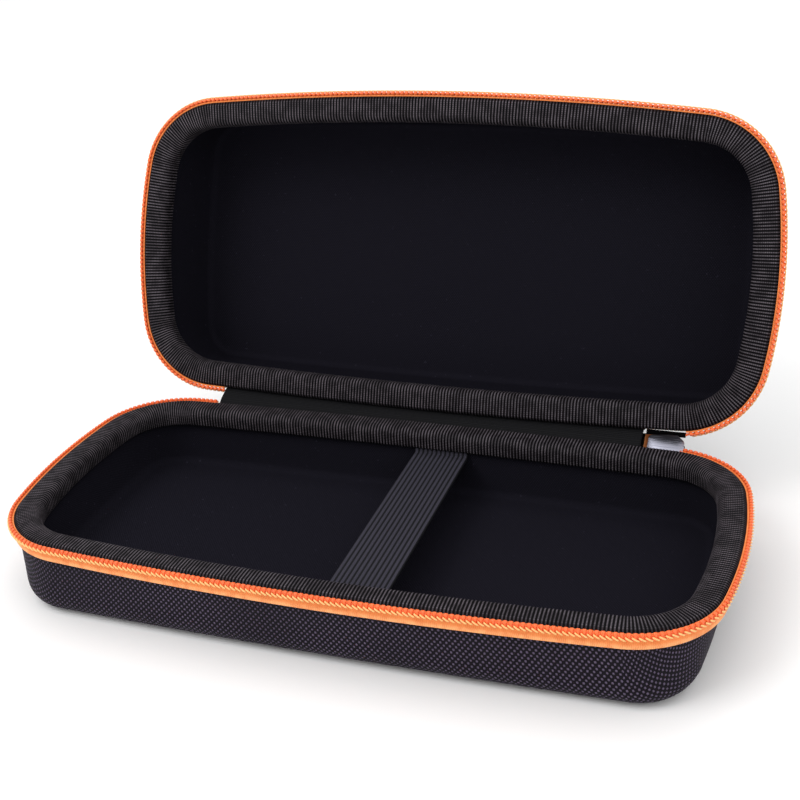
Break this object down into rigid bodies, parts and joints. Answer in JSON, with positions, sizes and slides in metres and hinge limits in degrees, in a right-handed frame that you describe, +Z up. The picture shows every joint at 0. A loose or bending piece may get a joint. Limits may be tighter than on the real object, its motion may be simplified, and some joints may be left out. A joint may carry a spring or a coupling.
{
  "type": "tool carrying case",
  "caption": "Zip-up moulded carrying case, open: a shallow tray with an elastic strap across it, a deeper lid on a fabric hinge, and a zip round the rim with its slider.",
  "frame": {"origin": "middle of the flat outer bottom of the base, where the case rests", "axes": "+X along the case towards the end where the zip slider is parked, +Y from the front towards the hinge, +Z up"},
  "size_m": [0.2213, 0.1757, 0.1268],
  "materials": {
    "woven_sheet": "matte",
    "knit_lining": "matte",
    "binding": "satin",
    "zip_tape": "matte",
    "zip_coil": "satin",
    "elastic": "matte",
    "hinge_fabric": "matte",
    "slider_metal": "satin"
  },
  "bodies": {
    "base": {"base_shell": "woven_sheet", "base_lining": "knit_lining", "base_rim_binding": "binding", "base_zip_tape": "zip_tape", "base_zip_coil": "zip_coil", "elastic_strap": "elastic", "hinge_strip": "hinge_fabric"},
    "lid": {"lid_shell": "woven_sheet", "lid_lining": "knit_lining", "lid_rim_binding": "binding", "lid_zip_tape": "zip_tape", "lid_zip_coil": "zip_coil"},
    "zip_end": {"zip_chain_tape": "zip_tape", "zip_chain_coil": "zip_coil"},
    "slider": {"zip_slider_body": "slider_metal"},
    "pull": {"zip_pull_tab": "slider_metal"}
  },
  "joints": [
    {"name": "lid_hinge", "type": "hinge", "parent": "base", "child": "lid", "pos_m": [0, 0.0544, 0.0248], "axis": [-1, 0, 0], "range_deg": [-109, 20], "deforming": ["hinge_strip"]},
    {"name": "zip_end_swing", "type": "hinge", "parent": "base", "child": "zip_end", "pos_m": [0.07475, 0.05141, 0.0202], "axis": [-1, 0, 0], "range_deg": [-54.5, 10]},
    {"name": "slider_travel", "type": "slide", "parent": "zip_end", "child": "slider", "axis": [1, 0, 0], "range_m": [-0.0015, 0.003]},
    {"name": "pull_swing", "type": "hinge", "parent": "slider", "child": "pull", "pos_m": [0.078, 0.05942, 0.01861], "axis": [0, 0.8141, 0.5807], "range_deg": [-40, 140]}
  ],
  "couplings": [
    {"joint": "zip_end_swing", "follows": "lid_hinge", "ratio": 0.5}
  ]
}
